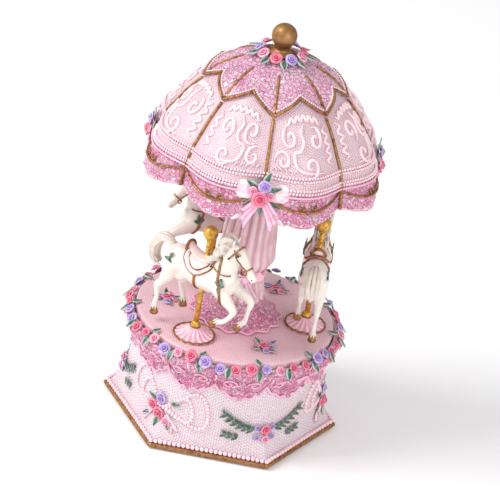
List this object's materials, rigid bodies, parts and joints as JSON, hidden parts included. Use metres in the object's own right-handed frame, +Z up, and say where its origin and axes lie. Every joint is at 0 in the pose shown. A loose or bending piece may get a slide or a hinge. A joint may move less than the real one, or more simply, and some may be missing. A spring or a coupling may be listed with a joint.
{
  "type": "carousel music box",
  "caption": "Wind-up carousel music box: hexagonal base, turning platform with horses on gilt poles, curtained column and domed lobed canopy with a ball finial.",
  "frame": {"origin": "middle of the resting plane, under the carousel's axis", "axes": "+Z up along the carousel's axis, -Y towards the horse, body bow and hexagon corner taken as the front, +X to the right"},
  "size_m": [0.0988, 0.1004, 0.18],
  "materials": {
    "felt": "matt felt",
    "foot_gold": "satin antique gold",
    "resin_pink": "pearlescent painted resin",
    "deck_pink": "woven-look painted resin",
    "lace_pink": "glittered painted resin",
    "pearl": "pearl gloss",
    "rose_pink": "satin paint",
    "leaf_green": "matt paint",
    "trim_gold": "antique gold paint",
    "pole_gold": "polished gilt",
    "horse_ivory": "pearl gloss",
    "curtain_pink": "pearlescent painted resin",
    "finial_gold": "satin gilt",
    "brass": "lacquered",
    "steel": "bright",
    "spring_steel": "blued",
    "white_plastic": "moulded"
  },
  "bodies": {
    "base": {"felt_pads": "felt", "foot_plate": "foot_gold", "foot_plate_screws": "steel", "base_shell": "resin_pink", "base_top": "resin_pink", "foot_beads": "pearl", "rim_roses": "rose_pink", "rim_leaves": "leaf_green", "body_bows": "pearl", "body_garlands": "leaf_green", "mount_plate": "white_plastic", "mount_plate_screws": "steel", "movement_screws": "steel", "bedplate": "brass", "spring_barrel": "brass", "mainspring": "spring_steel", "comb": "steel", "comb_screws": "brass", "cylinder_brackets": "brass", "governor_bracket": "brass", "bearing_bush": "brass"},
    "carousel": {"turntable": "deck_pink", "turntable_hub": "brass", "hub_screws": "steel", "output_shaft": "steel", "great_wheel": "brass", "tie_rod": "steel", "deck_posies": "rose_pink", "pedestal_1": "pearl", "pedestal_2": "pearl", "pedestal_3": "pearl", "pole_1": "pole_gold", "pole_2": "pole_gold", "pole_3": "pole_gold", "horse_1": "horse_ivory", "horse_2": "horse_ivory", "horse_3": "horse_ivory", "column_foot": "lace_pink", "column": "curtain_pink", "column_ribbon": "lace_pink", "canopy_shell": "resin_pink", "canopy_valance": "lace_pink", "canopy_ribs": "trim_gold", "canopy_beads": "pearl", "star_cap": "lace_pink", "star_trim": "trim_gold", "canopy_bows": "pearl", "canopy_roses": "rose_pink", "canopy_leaves": "leaf_green", "crown_roses": "rose_pink", "finial": "finial_gold"},
    "key": {"winding_key": "brass"},
    "pinned_cylinder": {"cylinder": "brass", "cylinder_pins": "steel", "crown_gear": "brass"},
    "governor_idler": {"idler": "brass"},
    "governor": {"governor_worm": "steel", "governor_fan": "steel"}
  },
  "joints": [
    {"name": "carousel_spin", "type": "hinge", "parent": "base", "child": "carousel", "pos_m": [0, 0, 0.0438], "axis": [0, 0, 1], "continuous": true},
    {"name": "key_turn", "type": "hinge", "parent": "carousel", "child": "key", "pos_m": [0, 0, 0.0118], "axis": [0, 0, 1], "continuous": true},
    {"name": "cylinder_spin", "type": "hinge", "parent": "base", "child": "pinned_cylinder", "pos_m": [0.021, 0, 0.0246], "axis": [1, 0, 0], "continuous": true},
    {"name": "idler_spin", "type": "hinge", "parent": "base", "child": "governor_idler", "pos_m": [-0.01445, 0, 0.024], "axis": [0, 0, 1], "continuous": true},
    {"name": "governor_spin", "type": "hinge", "parent": "base", "child": "governor", "pos_m": [-0.02084, 0, 0.02285], "axis": [0, 1, 0], "continuous": true}
  ],
  "couplings": [
    {"joint": "cylinder_spin", "follows": "carousel_spin", "ratio": -2},
    {"joint": "idler_spin", "follows": "carousel_spin", "ratio": -4},
    {"joint": "governor_spin", "follows": "carousel_spin", "ratio": -80}
  ]
}
